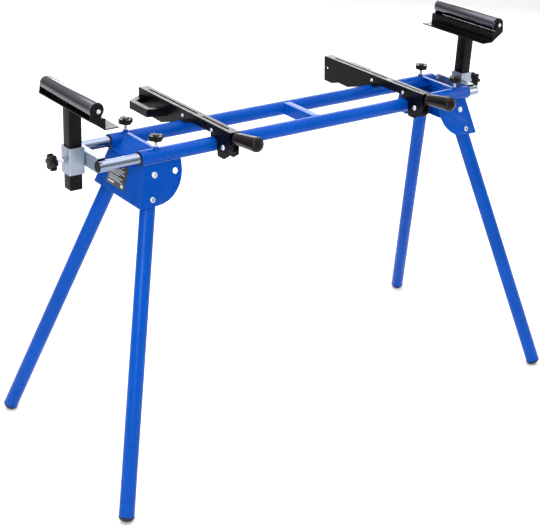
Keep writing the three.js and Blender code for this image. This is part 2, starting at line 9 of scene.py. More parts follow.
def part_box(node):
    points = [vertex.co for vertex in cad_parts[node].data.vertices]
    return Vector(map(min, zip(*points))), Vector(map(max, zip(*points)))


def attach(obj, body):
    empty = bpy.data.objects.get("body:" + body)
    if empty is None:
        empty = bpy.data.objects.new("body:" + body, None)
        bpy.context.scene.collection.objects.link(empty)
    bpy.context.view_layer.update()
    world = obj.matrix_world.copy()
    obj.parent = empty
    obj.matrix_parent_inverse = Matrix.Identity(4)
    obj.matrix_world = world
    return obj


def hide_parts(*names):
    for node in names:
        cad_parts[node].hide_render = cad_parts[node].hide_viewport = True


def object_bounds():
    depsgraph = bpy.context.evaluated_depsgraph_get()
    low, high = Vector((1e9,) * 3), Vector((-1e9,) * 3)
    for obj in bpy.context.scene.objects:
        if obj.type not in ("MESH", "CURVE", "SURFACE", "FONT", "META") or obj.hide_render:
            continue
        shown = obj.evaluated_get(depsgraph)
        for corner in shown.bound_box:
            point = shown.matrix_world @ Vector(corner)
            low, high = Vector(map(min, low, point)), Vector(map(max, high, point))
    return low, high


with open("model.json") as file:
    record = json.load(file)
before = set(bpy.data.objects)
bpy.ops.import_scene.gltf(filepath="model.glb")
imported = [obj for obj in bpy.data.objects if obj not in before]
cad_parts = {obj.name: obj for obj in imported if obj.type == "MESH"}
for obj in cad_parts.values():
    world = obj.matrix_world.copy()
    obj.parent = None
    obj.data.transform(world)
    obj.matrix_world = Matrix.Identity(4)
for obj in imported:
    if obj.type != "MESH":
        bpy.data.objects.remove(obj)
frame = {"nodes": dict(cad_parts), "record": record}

CAD_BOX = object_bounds()
RECORD = frame["record"]
JOINTS = {joint["name"]: joint for joint in RECORD["behaviour"]["joints"]}
MOUNTS = {mount["name"]: mount for mount in RECORD["mounts"]}
MM = 0.001
ENDS = (("left", -1), ("right", 1))
SIDES = (("front", -1), ("rear", 1))
X, Y, Z = Vector((1, 0, 0)), Vector((0, 1, 0)), Vector((0, 0, 1))


# ---- Meshes. Shapes are drawn in millimetres and placed by a matrix in metres. --------------------
def fillet(points, steps=4, closed=True):
    """An outline of (x, y) or (x, y, radius) corners, with those that give a radius rounded."""
    out, count = [], len(points)
    for i, point in enumerate(points):
        here = Vector(point[:2])
        radius = point[2] if len(point) > 2 else 0
        if radius <= 0 or (not closed and i in (0, count - 1)):
            out.append((here.x, here.y))
            continue
        before = Vector(points[i - 1][:2]) - here
        after = Vector(points[(i + 1) % count][:2]) - here
        u, v = before.normalized(), after.normalized()
        half = u.angle(v) / 2
        reach = min(radius / math.tan(half), 0.49 * before.length, 0.49 * after.length)
        radius = reach * math.tan(half)
        centre = here + (u + v).normalized() * (radius / math.sin(half))
        start, end = here + u * reach - centre, here + v * reach - centre
        a = math.atan2(start.y, start.x)
        turn = (math.atan2(end.y, end.x) - a + math.pi) % (2 * math.pi) - math.pi
        for k in range(steps + 1):
            angle = a + turn * k / steps
            out.append((centre.x + radius * math.cos(angle), centre.y + radius * math.sin(angle)))
    return out


def loft(rings, loop=False):
    """A closed skin over rings of equal length; a ring of one point closes to a tip."""
    bm = bmesh.new()
    made = [[bm.verts.new(p) for p in ring] for ring in rings]
    pairs = list(zip(made, made[1:])) + ([(made[-1], made[0])] if loop else [])
    for a, b in pairs:
        count = max(len(a), len(b))
        for i in range(count):
            j = (i + 1) % count
            corners = [a[i % len(a)], a[j % len(a)], b[j % len(b)], b[i % len(b)]]
            corners = list(dict.fromkeys(corners))
            if len(corners) > 2:
                bm.faces.new(corners)
    if not loop:
        for ring in (made[0], made[-1]):
            if len(ring) > 2:
                bm.faces.new(ring)
    bmesh.ops.recalc_face_normals(bm, faces=bm.faces)
    return bm


def lathe(profile, sides=48, loop=False, lobes=0, depth=0.0, sharp=1.0):
    """A profile of (radius, along, lobed) points turned about Z. Lobed points swell into lobes."""
    rings = []
    for radius, along, *lobed in profile:
        if radius < 1e-6:
            rings.append([(0, 0, along)])
            continue
        ring = []
        for i in range(sides):
            a = 2 * math.pi * i / sides
            valley = (0.5 - 0.5 * math.cos(lobes * a)) ** sharp
            r = radius * (1 - (lobed[0] if lobed else 0) * depth * valley)
            ring.append((r * math.cos(a), r * math.sin(a), along))
        rings.append(ring)
    return loft(rings, loop)


def pipe(outer, inner, low, high, edge=0.4, sides=64):
    """A round tube along Z with its rims eased."""
    corners = [(outer, low, edge), (outer, high, edge), (inner, high, edge), (inner, low, edge)]
    return lathe(fillet(corners, 3), sides, loop=True)


def screw(radius, pitch, low, high, depth=0.45, sides=20):
    """A threaded bar along Z."""
    rows = max(2, int((high - low) / pitch * 6))
    rings = [[(0, 0, low)]]
    for k in range(rows + 1):
        z = low + (high - low) * k / rows
        fade = min(1.0, k / 4, (rows - k) / 4)
        ring = []
        for i in range(sides):
            a = 2 * math.pi * i / sides
            wave = 0.5 - 0.5 * math.cos(2 * math.pi * (z / pitch) - a)
            r = radius - depth * (wave * fade + (1 - fade))
            ring.append((r * math.cos(a), r * math.sin(a), z))
        rings.append(ring)
    rings.append([(0, 0, high)])
    return loft(rings)


def box_tube(width, height, wall, low, high, corner=3.0, edge=0.4, steps=5):
    """A square tube along Z with rounded corners and eased rims."""

    def ring(grow, inset, z):
        w, h = width / 2 - inset, height / 2 - inset
        r = max(corner - inset + grow, 0.6)
        return [(x, y, z) for x, y in fillet([(w, -h, r), (w, h, r), (-w, h, r), (-w, -h, r)], steps)]

    return loft(
        [
            ring(0, 0, low + edge),
            ring(0, 0, high - edge),
            ring(0, edge, high),
            ring(0, wall - edge, high),
            ring(0, wall, high - edge),
            ring(0, wall, low + edge),
            ring(0, wall - edge, low),
            ring(0, edge, low),
        ],
        loop=True,
    )


def prism(outline, low, high, edge=0.0, steps=2):
    """An outline swept along Z, with its rims rounded over."""
    bm = loft([[(x, y, low) for x, y in outline], [(x, y, high) for x, y in outline]])
    if edge:
        rims = [e for e in bm.edges if abs(e.verts[0].co.z - e.verts[1].co.z) < 1e-6]
        bmesh.ops.bevel(
            bm, geom=rims, offset=edge, offset_type="OFFSET", segments=steps, profile=0.5, affect="EDGES",
            clamp_overlap=True,
        )
    return bm


def hexagon(radius, low, high, chamfer=0.9):
    """A nut or bolt head along Z with chamfered corners."""
    bm = loft(
        [
            [(radius * s * math.cos(a), radius * s * math.sin(a), z) for a in [math.pi / 3 * i for i in range(6)]]
            for s, z in ((0.88, low), (1, low + chamfer * 0.5), (1, high - chamfer), (0.84, high))
        ]
    )
    return bm


def joined(*parts):
    """Several skins in one mesh."""
    bm = bmesh.new()
    for part in parts:
        scratch = bpy.data.meshes.new("scratch")
        part.to_mesh(scratch)
        part.free()
        bm.from_mesh(scratch)
        bpy.data.meshes.remove(scratch)
    return bm


def moved(bm, matrix):
    bmesh.ops.transform(bm, matrix=matrix, verts=bm.verts)
    if matrix.determinant() < 0:
        bmesh.ops.reverse_faces(bm, faces=bm.faces)
    return bm


def shifted(bm, x=0.0, y=0.0, z=0.0):
    return moved(bm, Matrix.Translation((x, y, z)))


def turned(bm, degrees, axis):
    return moved(bm, Matrix.Rotation(math.radians(degrees), 4, axis))


def upright(at, axis, spin=None):
    """A place at a point in metres for a shape drawn in millimetres, with its own Z along an axis."""
    z = Vector(axis).normalized()
    x = Vector(spin) if spin is not None else (X if abs(z.x) < 0.9 else Y)
    x = (x - z * x.dot(z)).normalized()
    turn = Matrix((x, z.cross(x), z)).transposed().to_4x4()
    return Matrix.Translation(at) @ turn @ Matrix.Scale(MM, 4)


def scratch_object(bm):
    mesh = bpy.data.meshes.new("scratch")
    bm.to_mesh(mesh)
    bm.free()
    obj = bpy.data.objects.new("scratch", mesh)
    bpy.context.scene.collection.objects.link(obj)
    return obj


def combine(bm, *others, how="DIFFERENCE"):
    """One shape with others cut from it or joined to it."""
    obj = scratch_object(bm)
    tools = [scratch_object(other) for other in others]
    for tool in tools:
        step = obj.modifiers.new("step", "BOOLEAN")
        step.operation = how
        step.solver = "EXACT"
        step.object = tool
    bpy.context.view_layer.update()
    mesh = bpy.data.meshes.new_from_object(obj.evaluated_get(bpy.context.evaluated_depsgraph_get()))
    out = bmesh.new()
    out.from_mesh(mesh)
    for extra in [obj] + tools:
        old = extra.data
        bpy.data.objects.remove(extra)
        bpy.data.meshes.remove(old)
    bpy.data.meshes.remove(mesh)
    return out


def cad_skin(node, flat=0.6):
    """A CAD node's own surface in metres, with its flat faces whole again."""
    bm = bmesh.new()
    bm.from_mesh(frame["nodes"][node].data)
    bmesh.ops.remove_doubles(bm, verts=bm.verts, dist=4e-6)
    bmesh.ops.dissolve_limit(bm, angle_limit=math.radians(flat), verts=bm.verts, edges=bm.edges)
    bmesh.ops.recalc_face_normals(bm, faces=bm.faces)
    return bm


def sharp_edges(bm, least_angle=30, least_length=0.0):
    return [
        e
        for e in bm.edges
        if len(e.link_faces) == 2
        and e.calc_length() > least_length
        and e.calc_face_angle(0) > math.radians(least_angle)
    ]


def ease(bm, edges, offset, steps=2):
    if edges:
        bmesh.ops.bevel(
            bm, geom=edges, offset=offset, offset_type="OFFSET", segments=steps, profile=0.5,
            affect="EDGES", clamp_overlap=True,
        )
    return bm


def bead(points, radius, closed=True, sides=8, ripple=0.12, seed=0):
    """A weld bead along a line of points in millimetres, with its ripples."""
    count = len(points)
    rings = []
    for i, here in enumerate(points):
        here = Vector(here)
        ahead = Vector(points[(i + 1) % count] if closed or i < count - 1 else points[i])
        back = Vector(points[i - 1] if closed or i else points[i])
        t = (ahead - back).normalized()
        n = t.orthogonal().normalized() if abs(t.z) > 0.9 else t.cross(Z).normalized()
        b = t.cross(n)
        r = radius * (1 + ripple * math.sin(i * 2.1 + seed) + ripple * 0.5 * math.sin(i * 0.73 + seed * 2))
        rings.append([here + n * (r * math.cos(a)) + b * (r * math.sin(a)) for a in [2 * math.pi * k / sides for k in range(sides)]])
    return loft(rings, loop=closed)


def piece(name, bm, body, slot, *nodes, smooth=32, weighted=False):
    """A finished piece in metres that rides a body and may stand for CAD nodes."""
    mesh = bpy.data.meshes.new(name)
    bm.to_mesh(mesh)
    bm.free()
    mesh.polygons.foreach_set("use_smooth", [True] * len(mesh.polygons))
    mesh.set_sharp_from_angle(angle=math.radians(smooth))
    mesh.materials.append(MATERIALS[slot])
    obj = bpy.data.objects.new(name, mesh)
    bpy.context.scene.collection.objects.link(obj)
    if weighted:
        obj.modifiers.new("normals", "WEIGHTED_NORMAL").keep_sharp = True
    if nodes:
        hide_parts(*nodes)
    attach(obj, body)
    return obj


# ---- Materials -----------------------------------------------------------------------------------
class Shader:
    """A Principled material whose colour, roughness and surface vary over the object."""

    def __init__(self, name, metallic=0.0, **constants):
        self.material = bpy.data.materials.new(name)
        self.material.use_nodes = True
        self.tree = self.material.node_tree
        self.bsdf = self.tree.nodes["Principled BSDF"]
        self.bsdf.inputs["Metallic"].default_value = metallic
        for socket, value in constants.items():
            self.bsdf.inputs[socket.replace("_", " ")].default_value = value
        self.where = self.tree.nodes.new("ShaderNodeTexCoord").outputs["Object"]
        self.height = None

    def link(self, a, b):
        self.tree.links.new(a, b)

    def stretched(self, scale):
        node = self.tree.nodes.new("ShaderNodeMapping")
        node.inputs["Scale"].default_value = scale
        self.link(self.where, node.inputs["Vector"])
        return node.outputs["Vector"]

    def noise(self, scale, detail=3.0, stretch=None, rough=0.55):
        node = self.tree.nodes.new("ShaderNodeTexNoise")
        node.inputs["Scale"].default_value = scale
        node.inputs["Detail"].default_value = detail
        node.inputs["Roughness"].default_value = rough
        self.link(self.stretched(stretch) if stretch else self.where, node.inputs["Vector"])
        return node.outputs["Fac"]

    def cells(self, scale):
        node = self.tree.nodes.new("ShaderNodeTexVoronoi")
        node.inputs["Scale"].default_value = scale
        self.link(self.where, node.inputs["Vector"])
        split = self.tree.nodes.new("ShaderNodeSeparateColor")
        self.link(node.outputs["Color"], split.inputs["Color"])
        return split.outputs["Red"]

    def rings(self, scale, axis):
        node = self.tree.nodes.new("ShaderNodeTexWave")
        node.bands_direction = axis
        node.inputs["Scale"].default_value = scale
        node.inputs["Distortion"].default_value = 0.3
        self.link(self.where, node.inputs["Vector"])
        return node.outputs["Fac"]

    def span(self, source, low, high, start=0.35, end=0.65):
        node = self.tree.nodes.new("ShaderNodeMapRange")
        node.inputs["From Min"].default_value = start
        node.inputs["From Max"].default_value = end
        node.inputs["To Min"].default_value = low
        node.inputs["To Max"].default_value = high
        self.link(source, node.inputs["Value"])
        return node.outputs["Result"]

    def colour(self, source, *stops):
        """Blends colours over a source; each stop is a place from 0 to 1 and a colour."""
        ramp = self.tree.nodes.new("ShaderNodeValToRGB")
        elements = ramp.color_ramp.elements
        while len(elements) < len(stops):
            elements.new(0.5)
        for element, (place, rgb) in zip(elements, stops):
            element.position = place
            element.color = (*rgb, 1)
        self.link(source, ramp.inputs["Fac"])
        self.link(ramp.outputs["Color"], self.bsdf.inputs["Base Color"])
        return self

    def roughness(self, source, low, high):
        self.link(self.span(source, low, high), self.bsdf.inputs["Roughness"])
        return self

    def bump(self, source, distance, strength=1.0):
        node = self.tree.nodes.new("ShaderNodeBump")
        node.inputs["Distance"].default_value = distance
        node.inputs["Strength"].default_value = strength
        self.link(source, node.inputs["Height"])
        if self.height is not None:
            self.link(self.height, node.inputs["Normal"])
        self.height = node.outputs["Normal"]
        self.link(self.height, self.bsdf.inputs["Normal"])
        return self


def powder_coat(name, dark, light, rough, coat, shine):
    s = Shader(name, Coat_Weight=coat, Coat_Roughness=0.05, Specular_IOR_Level=shine)
    s.colour(s.noise(7, 3), (0.32, dark), (0.68, light))
    s.roughness(s.noise(60, 3), rough - 0.03, rough + 0.05)
    s.bump(s.noise(240, 1), 0.00001, 0.25)
    return s.material


def zinc(name, dark, light):
    s = Shader(name, metallic=1.0)
    s.colour(s.cells(150), (0.0, dark), (1.0, light))
    s.roughness(s.noise(90, 4), 0.36, 0.5)
    s.bump(s.noise(600, 3), 0.00003, 0.4)
    return s.material


def chrome(name, dark, light, stretch, low, high):
    s = Shader(name, metallic=1.0)
    s.colour(s.noise(3.0, 3), (0.3, dark), (0.7, light))
    s.roughness(s.noise(1.0, 3, stretch), low, high)
    s.bump(s.noise(1.0, 2, stretch), 0.00001, 0.25)
    return s.material


def plastic(name, dark, light, rough):
    s = Shader(name, Specular_IOR_Level=0.16)
    s.colour(s.noise(25, 3), (0.3, dark), (0.7, light))
    s.roughness(s.noise(140, 3), rough - 0.05, rough + 0.08)
    s.bump(s.noise(900, 3), 0.00006, 0.5)
    return s.material


def rubber(name):
    s = Shader(name, Specular_IOR_Level=0.35)
    s.colour(s.noise(40, 5), (0.3, (0.006, 0.006, 0.007)), (0.72, (0.02, 0.02, 0.021)))
    s.roughness(s.noise(120, 4), 0.5, 0.75)
    s.bump(s.noise(500, 4), 0.00012, 0.6)
    return s.material


def printed(name, rgb, lighter):
    s = Shader(name)
    s.colour(s.noise(60, 3), (0.3, rgb), (0.7, lighter))
    s.roughness(s.noise(200, 2), 0.3, 0.42)
    s.bump(s.noise(700, 2), 0.00003, 0.3)
    return s.material


MATERIALS = {
    "frame_blue": powder_coat("blue_coat", (0.0, 0.056, 0.33), (0.0, 0.07, 0.41), 0.28, 0.1, 0.06),
    "black_coat": powder_coat("black_coat", (0.001, 0.001, 0.002), (0.003, 0.003, 0.004), 0.28, 0.03, 0.1),
    "arm_chrome": chrome("arm_chrome", (0.21, 0.25, 0.34), (0.28, 0.32, 0.42), (4, 500, 500), 0.07, 0.15),
    "roller_chrome": chrome("roller_chrome", (0.1, 0.1, 0.12), (0.16, 0.16, 0.19), (600, 20, 600), 0.12, 0.2),
    "zinc": zinc("zinc_plate", (0.33, 0.38, 0.46), (0.38, 0.43, 0.51)),
    "bolt_zinc": zinc("bolt_zinc", (0.62, 0.64, 0.68), (0.74, 0.76, 0.79)),
    "black_plastic": plastic("black_plastic", (0.003, 0.003, 0.004), (0.007, 0.007, 0.008), 0.3),
    "grip_plastic": plastic("grip_plastic", (0.004, 0.0025, 0.002), (0.009, 0.006, 0.005), 0.2),
    "foot_rubber": rubber("foot_rubber"),
    "label_dark": printed("label_dark", (0.018, 0.018, 0.022), (0.03, 0.03, 0.036)),
    "label_light": printed("label_light", (0.5, 0.52, 0.55), (0.62, 0.64, 0.66)),
}


# ---- Sizes shared by several pieces, in millimetres ----------------------------------------------
def span(node):
    """A CAD node's middle and its lowest and highest corner, in millimetres."""
    low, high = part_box(node)
    return (low + high) / 2 / MM, low / MM, high / MM


tube_mid, tube_low, tube_high = span("main_tube_rear")
TUBE_R = (tube_high.y - tube_low.y) / 2
TUBE_Y = tube_mid.y
TUBE_Z = tube_low.z + TUBE_R
TUBE_HALF = tube_high.x
TUBE_BORE = TUBE_R - 2
ARM_R = (span("arm_rear_left")[2].y - span("arm_rear_left")[1].y) / 2
LEG_R = 20
LEG_TILT, LEG_SPLAY = math.radians(17.67), math.radians(14.8)
DOME_Z, DOME_R, DOME_DEPTH = 13.4, 20.5, 13
BUTTON_REACH = 62
PLATE_OUT = LEG_R + 0.5 + 3
AT_TUBES = Matrix.Translation((0, 0, TUBE_Z * MM))


def ring_on_tube(radius, tube_radius, lift=0.0, count=40):
    """Points where an upright round boss meets a tube along X, about the tube's axis."""
    points = []
    for i in range(count):
        a = 2 * math.pi * i / count
        x, y = radius * math.cos(a), radius * math.sin(a)
        points.append((x, y, math.sqrt(tube_radius**2 - y * y) + lift))
    return points


# ---- Main frame ----------------------------------------------------------------------------------
KNOB_X = JOINTS["tube_knob_turn_rear_right"]["pos_m"][0] / MM
for side, sy in SIDES:
    shell = moved(pipe(TUBE_R, TUBE_BORE, -TUBE_HALF, TUBE_HALF, 0.5, 96), upright((0, 0, 0), X))
    shell = moved(shell, Matrix.Scale(1 / MM, 4))
    bosses = []
    for x in (-KNOB_X, KNOB_X):
        profile = fillet([(0, TUBE_BORE + 1.2), (7, TUBE_BORE + 1.2), (7, TUBE_R + 4, 0.8), (0, TUBE_R + 4)], 3)
        bosses.append(shifted(lathe(profile, 40), x))
    shell = combine(shell, *bosses, how="UNION")
    holes = [shifted(lathe([(0, 0), (4.4, 0), (4.4, 30), (0, 30)], 24), x) for x in (-KNOB_X, KNOB_X)]
    shell = combine(shell, *holes)
    beads = [shifted(bead(ring_on_tube(7.4, TUBE_R, -0.2), 1.0, seed=x), x) for x in (-KNOB_X, KNOB_X)]
    whole = joined(shell, *beads)
    place = Matrix.Translation((0, sy * TUBE_Y * MM, TUBE_Z * MM)) @ Matrix.Scale(MM, 4)
    piece(f"Main_tube_{side}", moved(whole, place), "frame", "frame_blue", f"main_tube_{side}")

    for end, sx in ENDS:
        corner = f"{side}_{end}"
        # bush: a sleeve inside the tube with a flange over its rim
        inner, rim, body_r = ARM_R + 0.3, TUBE_R - 0.5, TUBE_BORE - 0.3
        outline = [
            (inner, -40, 0.5), (body_r, -40, 0.5), (body_r, 0.3), (rim, 0.3, 0.3), (rim, 1.8, 0.7),
            (rim - 1.4, 2.5, 0.4), (inner, 2.5, 0.8),
        ]
        ring = lathe(fillet(outline, 3), 72, loop=True)
        at = (sx * TUBE_HALF * MM, sy * TUBE_Y * MM, TUBE_Z * MM)
        piece(f"Bush_{corner}", moved(ring, upright(at, X * sx)), "frame", "black_plastic", f"tube_bush_{corner}")

brace_mid, brace_low, brace_high = span("centre_brace")
wide, tall = brace_high.x - brace_low.x, brace_high.z - brace_low.z
reach = brace_high.y + 2
bar = box_tube(wide, tall, 2, -reach, reach, 3.2)
bar = turned(bar, 90, "X")
bar = shifted(bar, 0, 0, brace_mid.z - TUBE_Z)
cuts = [
    shifted(moved(lathe([(0, -60), (TUBE_R + 0.1, -60), (TUBE_R + 0.1, 60), (0, 60)], 96), Matrix.Rotation(math.pi / 2, 4, "Y")), 0, sy * TUBE_Y)
    for _, sy in SIDES
]
bar = combine(bar, *cuts)
beads = []
for _, sy in SIDES:
    line = []
    w, low, high = wide / 2, brace_low.z - TUBE_Z, brace_high.z - TUBE_Z
    for x, z in fillet([(w, low, 3), (w, high, 3), (-w, high, 3), (-w, low, 3)], 4):
        z = max(min(z, TUBE_R - 0.4), -TUBE_R + 0.4)
        line.append((x, sy * (TUBE_Y - math.sqrt(TUBE_R**2 - z * z)), z))
    fine = []
    for a, b in zip(line, line[1:] + line[:1]):
        steps = max(1, int((Vector(a) - Vector(b)).length / 1.2))
        for k in range(steps):
            z = a[2] + (b[2] - a[2]) * k / steps
            x = a[0] + (b[0] - a[0]) * k / steps
            fine.append((x, sy * (TUBE_Y - math.sqrt(TUBE_R**2 - z * z)), z))
    beads.append(bead(fine, 1.1, seed=sy))
bar = joined(bar, *beads)
piece("Centre_brace", moved(bar, AT_TUBES @ Matrix.Scale(MM, 4)), "frame", "frame_blue", "centre_brace")

# ---- End housings: the folded sheet with rounded bends --------------------------------------------
for end, sx in ENDS:
    node = f"end_housing_{end}"
    skin = cad_skin(node)
    mid, low, high = span(node)

    def is_bend(e):
        a, b = e.verts[0].co / MM, e.verts[1].co / MM
        d = b - a
        return d.length > 60 and abs(d.z) > 0.6 * d.length and min(abs(a.x), abs(b.x)) > 530

    def is_fold(e):
        a, b = e.verts[0].co / MM, e.verts[1].co / MM
        d = b - a
        return abs(d.y) > 0.95 * d.length and d.length > 60 and min(a.z, b.z) > TUBE_Z - 25

    ease(skin, [e for e in sharp_edges(skin, 25) if is_bend(e)], 4.5 * MM, 6)
    ease(skin, [e for e in sharp_edges(skin, 12) if is_fold(e) and e.calc_face_angle(0) < 1.2], 2.0 * MM, 4)
    ease(skin, sharp_edges(skin, 55, 3 * MM), 0.35 * MM, 2)
    piece(f"Housing_{end}", skin, "frame", "frame_blue", node, smooth=38, weighted=True)

# ---- Legs, feet, pivots and lock buttons ----------------------------------------------------------
def leg_down(sx, sy):
    """The way down a leg."""
    level = math.cos(LEG_SPLAY) * math.sin(LEG_TILT)
    return Vector((sx * math.sin(LEG_SPLAY), sy * level, -math.cos(LEG_SPLAY) * math.cos(LEG_TILT)))


for side, sy in SIDES:
    for end, sx in ENDS:
        corner = f"{side}_{end}"
        joint = JOINTS[f"leg_fold_{corner}"]
        pivot = Vector(joint["pos_m"])
        out = Vector(joint["axis"]) * sx * sy
        up = -leg_down(sx, sy)
        reach = (pivot.z / MM - DOME_Z) / up.z
        at_leg = upright(pivot, up, up.cross(out) * -1)
        in_leg = Matrix(at_leg)
        # the leg's own Y is the way out through the side plate
        if (in_leg.to_3x3() @ Y).dot(out) < 0:
            in_leg = in_leg @ Matrix.Rotation(math.pi, 4, "Z")
        shank = pipe(LEG_R, LEG_R - 2, 0.3 - reach, 20, 0.5, 80)
        bolt_hole = turned(lathe([(0, -30), (6.4, -30), (6.4, 30), (0, 30)], 28), -90, "X")
        pin_hole = turned(lathe([(0, 0), (5.4, 0), (5.4, 30), (0, 30)], 28), -90, "X")
        shank = combine(shank, bolt_hole, shifted(pin_hole, 0, 0, -BUTTON_REACH))
        piece(f"Leg_{corner}", moved(shank, in_leg), f"leg_{corner}", "frame_blue", f"leg_{corner}")

        # rubber foot: a domed plug with a beaded rim, worn flat on the floor, and a ribbed spigot inside
        outline = [(0, -reach - DOME_DEPTH)]
        for step in range(1, 15):
            a = math.radians(step * 6)
            outline.append((DOME_R * math.sin(a), -reach - DOME_DEPTH * math.cos(a)))
        outline += [(DOME_R, -reach - 0.6), (DOME_R - 0.3, -reach - 0.1), (LEG_R - 1, -reach)]
        for rib in range(4):
            z = -reach + 3 + 5.5 * rib
            outline += [(LEG_R - 3.4, z - 1.6), (LEG_R - 2.3, z), (LEG_R - 2.3, z + 0.8)]
        outline += [(LEG_R - 4, 24 - reach), (0, 24 - reach)]
        cup = moved(lathe(outline, 64), in_leg)
        bmesh.ops.bisect_plane(
            cup, geom=cup.verts[:] + cup.edges[:] + cup.faces[:], plane_co=(0, 0, 0.00002),
            plane_no=(0, 0, -1), clear_outer=True,
        )
        bmesh.ops.holes_fill(cup, edges=[e for e in cup.edges if e.is_boundary])
        piece(f"Foot_{corner}", cup, f"leg_{corner}", "foot_rubber", f"foot_cap_{corner}")

        # pivot bolt: domed head and washer outside, nut inside
        face = LEG_R + 0.5 + 3 + 0.3
        dome = fillet(
            [(0, face + 4.0), (4.5, face + 3.6, 3), (6.9, face + 2.0, 2), (7.3, face + 0.9, 0.4), (8.4, face + 0.9, 0.3), (8.4, face, 0.2), (0, face)],
            4, closed=False,
        )
        bolt = joined(
            lathe(dome, 48),
            screw(6, 1.5, -LEG_R - 8.6, face + 0.2, 0.6, 28),
            hexagon(8.4, -LEG_R - 8, -LEG_R - 1.6),
        )
        at_bolt = upright(pivot, out, up)
        piece(f"Pivot_bolt_{corner}", moved(bolt, at_bolt), "frame", "bolt_zinc", f"leg_pivot_bolt_{corner}")

        crown = LEG_R + 0.2
        button = lathe(
            fillet(
                [(0, 6), (5, 6, 0.4), (5, 7), (8, 7, 0.3), (8, 9, 0.3), (5, 9), (5, crown - 2.2, 0.4), (4.2, crown - 0.7, 1.2), (2.6, crown, 1.2), (0, crown)],
                4, closed=False,
            ),
            40,
        )
        at_button = upright(pivot - up * BUTTON_REACH * MM, out, up)
        piece(f"Lock_button_{corner}", moved(button, at_button), f"lock_button_{corner}", "bolt_zinc", f"lock_button_{corner}")

        # pressed eyelet that lines the button's hole in the side plate
        eyelet = lathe(
            fillet(
                [(5.9, PLATE_OUT - 2.8), (5.9, PLATE_OUT + 0.02), (7.4, PLATE_OUT + 0.02, 0.2), (7.1, PLATE_OUT + 1.1, 0.8), (5.4, PLATE_OUT + 2.3, 1.2), (3.9, PLATE_OUT + 2.0, 0.6), (3.9, PLATE_OUT - 2.8)],
                4,
            ),
            44, loop=True,
        )
        piece(f"Eyelet_{corner}", moved(eyelet, at_button), "frame", "bolt_zinc")

# ---- Sliding arms, cross bars and sleeves ---------------------------------------------------------
for end, sx in ENDS:
    for side, sy in SIDES:
        corner = f"{side}_{end}"
        mid, low, high = span(f"arm_{corner}")
        tube = pipe(ARM_R, ARM_R - 2, low.x, high.x, 0.5, 80)
        at = (0, sy * TUBE_Y * MM, TUBE_Z * MM)
        piece(f"Arm_{corner}", moved(tube, upright(at, X)), f"arms_{end}", "arm_chrome", f"arm_{corner}")
        tip = high.x if sx > 0 else -low.x
        cap = fillet(
            [(0, -16), (11.7, -16, 1), (11.7, 0.4), (ARM_R, 0.4, 0.3), (ARM_R, 1.8, 1.2), (11.2, 2.8, 1.5), (9.4, 2.2, 0.6), (0, 2.0)],
            3, closed=False,
        )
        at = (sx * tip * MM, sy * TUBE_Y * MM, TUBE_Z * MM)
        piece(f"Arm_plug_{corner}", moved(lathe(cap, 56), upright(at, X * sx)), f"arms_{end}", "black_plastic", f"arm_plug_{corner}")

    mid, low, high = span(f"arm_crossbar_{end}")
    wide, tall = high.x - low.x, high.z - low.z
    bar = turned(box_tube(wide, tall, 2, -high.y, high.y, 3.0), 90, "X")
    cuts = [
        shifted(moved(lathe([(0, -60), (ARM_R + 0.15, -60), (ARM_R + 0.15, 60), (0, 60)], 80), Matrix.Rotation(math.pi / 2, 4, "Y")), 0, sy * TUBE_Y)
        for _, sy in SIDES
    ]
    bar = combine(bar, *cuts)
    beads = []
    for _, sy in SIDES:
        for face in (-1, 1):
            line = []
            for k in range(25):
                a = math.radians(-58 + 116 * k / 24)
                line.append((face * (wide / 2 - 0.5), sy * (TUBE_Y - (ARM_R + 0.2) * math.cos(a)), (ARM_R + 0.2) * math.sin(a)))
            beads.append(bead(line, 0.9, closed=False, seed=face + sy))
    bar = joined(bar, *beads)
    place = Matrix.Translation((mid.x * MM, 0, TUBE_Z * MM)) @ Matrix.Scale(MM, 4)
    piece(f"Crossbar_{end}", moved(bar, place), f"arms_{end}", "zinc", f"arm_crossbar_{end}", smooth=40)

    mid, low, high = span(f"post_sleeve_{end}")
    width = high.y - low.y
    post_width = span(f"post_{end}")[2].y - span(f"post_{end}")[1].y
    wall = (width - post_width) / 2 - 0.45
    sleeve = box_tube(width, width, wall, low.z - TUBE_Z, high.z - TUBE_Z, 3.8)
    hole = turned(lathe([(0, 0), (4.4, 0), (4.4, 40), (0, 40)], 28), 90, "Y")
    sleeve = combine(sleeve, hole)
    nut = combine(
        hexagon(8, 0, 5.5),
        lathe([(0, -1), (4.4, -1), (4.4, 7), (0, 7)], 24),
    )
    nut = shifted(turned(nut, 90, "Y"), width / 2 - 0.1)
    ring = [(width / 2 + 0.2, 8.1 * math.cos(a), 8.1 * math.sin(a)) for a in [2 * math.pi * k / 36 for k in range(36)]]
    sleeve = joined(sleeve, nut, bead(ring, 0.8, seed=3))
    if sx < 0:
        sleeve = turned(sleeve, 180, "Z")
    place = Matrix.Translation((mid.x * MM, mid.y * MM, TUBE_Z * MM)) @ Matrix.Scale(MM, 4)
    piece(f"Post_sleeve_{end}", moved(sleeve, place), f"arms_{end}", "zinc", f"post_sleeve_{end}", smooth=40)

    mid, low, high = span(f"post_{end}")
    post = box_tube(high.x - low.x, high.y - low.y, 2, low.z, high.z, 3.0)
    place = Matrix.Translation((mid.x * MM, mid.y * MM, 0)) @ Matrix.Scale(MM, 4)
    piece(f"Post_{end}", moved(post, place), f"post_{end}", "black_coat", f"post_{end}", smooth=40)

